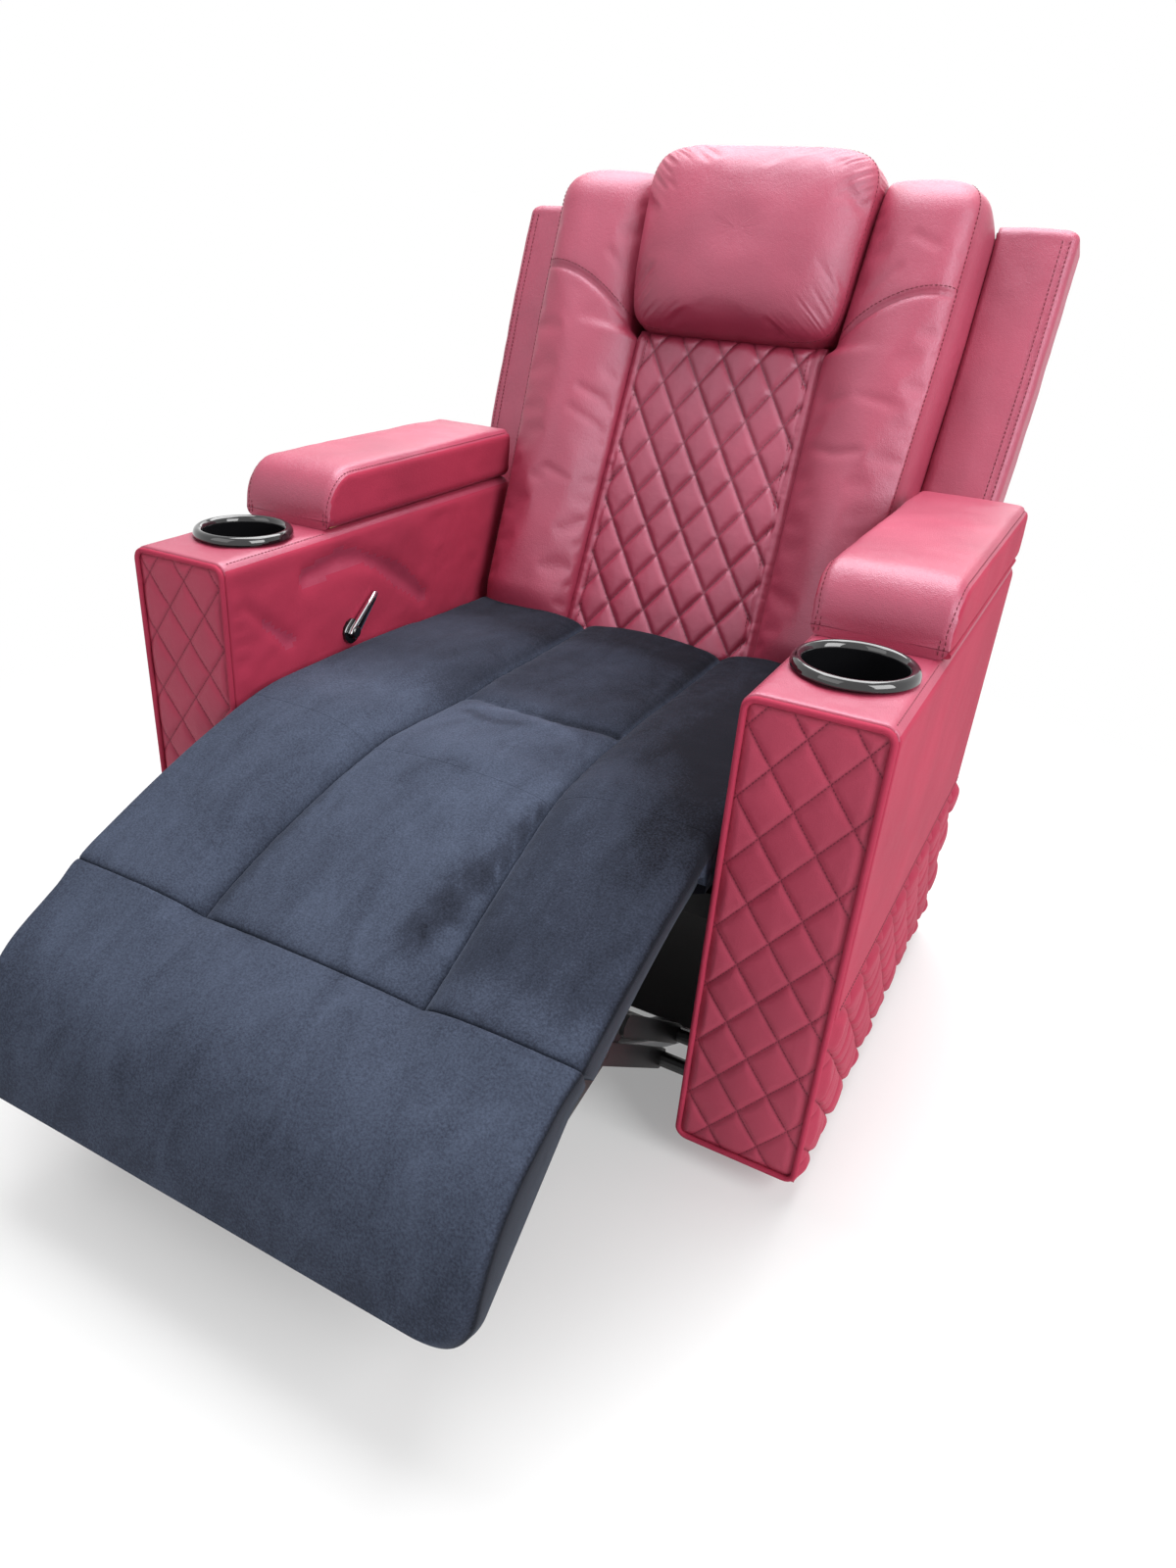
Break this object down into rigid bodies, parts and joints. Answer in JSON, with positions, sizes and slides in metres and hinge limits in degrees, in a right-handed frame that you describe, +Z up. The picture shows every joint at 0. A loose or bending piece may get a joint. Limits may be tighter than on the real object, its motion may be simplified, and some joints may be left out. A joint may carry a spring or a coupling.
{
  "type": "swivel cinema recliner armchair",
  "caption": "Burgundy leatherette cinema recliner with black velvet seat and footrest, quilted lumbar panel and arm fronts, winged back, cup holders, lidded arm bins and a ring swivel base",
  "frame": {"origin": "on the floor, at the middle of the footprint's box across and along", "axes": "+Z up, -Y the way the sitter faces, +X the sitter's left (right in a view from the front)"},
  "size_m": [0.897, 1.3348, 1.0164],
  "materials": {
    "leatherette": "soft grained burgundy leatherette, semi-matt",
    "velvet": "blue-black short pile velvet",
    "black_steel": "satin black painted steel",
    "silver_steel": "silver-grey satin steel",
    "spring_steel": "plain spring wire",
    "gloss_black": "high gloss black",
    "matt_black": "matt black moulded lining",
    "lining": "black lining cloth",
    "timber": "bare plywood and softwood",
    "chrome": "bright chrome plate"
  },
  "bodies": {
    "base": {"base_ring": "silver_steel", "base_cross": "black_steel"},
    "chair": {"swivel_upper_plate": "black_steel", "cross_rail_front": "black_steel", "cross_rail_rear": "black_steel", "side_plate_R": "black_steel", "side_plate_L": "black_steel", "seat_side_rail_R": "lining", "seat_side_rail_L": "lining", "seat_front_rail": "lining", "seat_rear_rail": "lining", "seat_spring_1": "spring_steel", "seat_spring_2": "spring_steel", "dust_cover": "lining", "seat_cushion": "velvet", "arm_body_R": "leatherette", "arm_body_L": "leatherette", "arm_front_panel_R": "leatherette", "arm_front_panel_L": "leatherette", "arm_piping_R": "leatherette", "arm_piping_L": "leatherette", "arm_side_quilt_R": "leatherette", "arm_side_quilt_L": "leatherette", "cup_holder_R": "gloss_black", "cup_holder_L": "gloss_black", "storage_tray_R": "matt_black", "storage_tray_L": "matt_black", "lever_bezel": "gloss_black"},
    "lid_right": {"lid_pad_R": "leatherette", "lid_board_R": "timber", "lid_hinge_R": "silver_steel"},
    "lid_left": {"lid_pad_L": "leatherette", "lid_board_L": "timber", "lid_hinge_L": "silver_steel"},
    "lever": {"lever_handle": "chrome"},
    "back": {"back_post_R": "timber", "back_post_L": "timber", "back_bottom_rail": "timber", "back_top_rail": "timber", "back_panel": "leatherette", "back_bracket_R": "black_steel", "back_bracket_L": "black_steel", "lumbar_pad": "leatherette", "head_cushion": "leatherette", "bolster_R": "leatherette", "bolster_L": "leatherette", "wing_R": "leatherette", "wing_L": "leatherette"},
    "lower_links": {"lower_link_R": "black_steel", "lower_link_L": "black_steel", "torque_tube": "black_steel"},
    "rear_links_right": {"rear_link_R": "black_steel"},
    "rear_links_left": {"rear_link_L": "black_steel"},
    "upper_links": {"upper_link_R": "black_steel", "upper_link_L": "black_steel"},
    "chaise": {"chaise_pad": "velvet"},
    "footrest_panel": {"footrest_pad": "velvet", "footrest_board": "timber", "footrest_bracket_R": "black_steel", "footrest_bracket_L": "black_steel"}
  },
  "joints": [
    {"name": "swivel", "type": "hinge", "parent": "base", "child": "chair", "pos_m": [0, 0.09857, 0.0445], "axis": [0, 0, 1], "continuous": true},
    {"name": "footrest", "type": "hinge", "parent": "chair", "child": "lower_links", "pos_m": [0, -0.14342, 0.07895], "axis": [1, 0, 0], "range_deg": [-105.63, 0]},
    {"name": "rear_link_right_swing", "type": "hinge", "parent": "chair", "child": "rear_links_right", "pos_m": [0.259, -0.19342, 0.07895], "axis": [1, 0, 0], "range_deg": [-105.66, 0]},
    {"name": "rear_link_left_swing", "type": "hinge", "parent": "chair", "child": "rear_links_left", "pos_m": [-0.259, -0.19342, 0.07895], "axis": [1, 0, 0], "range_deg": [-105.66, 0]},
    {"name": "upper_link_swing", "type": "hinge", "parent": "lower_links", "child": "upper_links", "pos_m": [0, -0.31069, 0.2092], "axis": [1, 0, 0], "range_deg": [0, 105.66]},
    {"name": "footrest_tilt", "type": "hinge", "parent": "upper_links", "child": "footrest_panel", "pos_m": [0, -0.53719, 0.16926], "axis": [1, 0, 0], "range_deg": [0, 49]},
    {"name": "chaise_fold", "type": "hinge", "parent": "chair", "child": "chaise", "pos_m": [0, -0.2317, 0.366], "axis": [1, 0, 0], "range_deg": [0, 54.7], "deforming": ["chaise_pad"]},
    {"name": "back_recline", "type": "hinge", "parent": "chair", "child": "back", "pos_m": [0, 0.34857, 0.35], "axis": [-1, 0, 0], "range_deg": [0, 30]},
    {"name": "lid_right_open", "type": "hinge", "parent": "chair", "child": "lid_right", "pos_m": [0.4417, 0.16357, 0.5646], "axis": [0, 1, 0], "range_deg": [0, 90]},
    {"name": "lid_left_open", "type": "hinge", "parent": "chair", "child": "lid_left", "pos_m": [-0.4417, 0.16357, 0.5646], "axis": [0, -1, 0], "range_deg": [0, 90]},
    {"name": "release_lever", "type": "hinge", "parent": "chair", "child": "lever", "pos_m": [-0.2964, -0.02543, 0.424], "axis": [1, 0, 0], "range_deg": [0, 38], "stiffness_Nm_per_rad": 0.2, "springref_deg": -28.65}
  ],
  "couplings": [
    {"joint": "rear_link_right_swing", "follows": "footrest", "ratio": 1},
    {"joint": "rear_link_left_swing", "follows": "footrest", "ratio": 1},
    {"joint": "upper_link_swing", "follows": "footrest", "ratio": -1},
    {"joint": "footrest_tilt", "follows": "footrest", "ratio": -0.46322},
    {"joint": "chaise_fold", "follows": "footrest", "ratio": -0.51671}
  ]
}
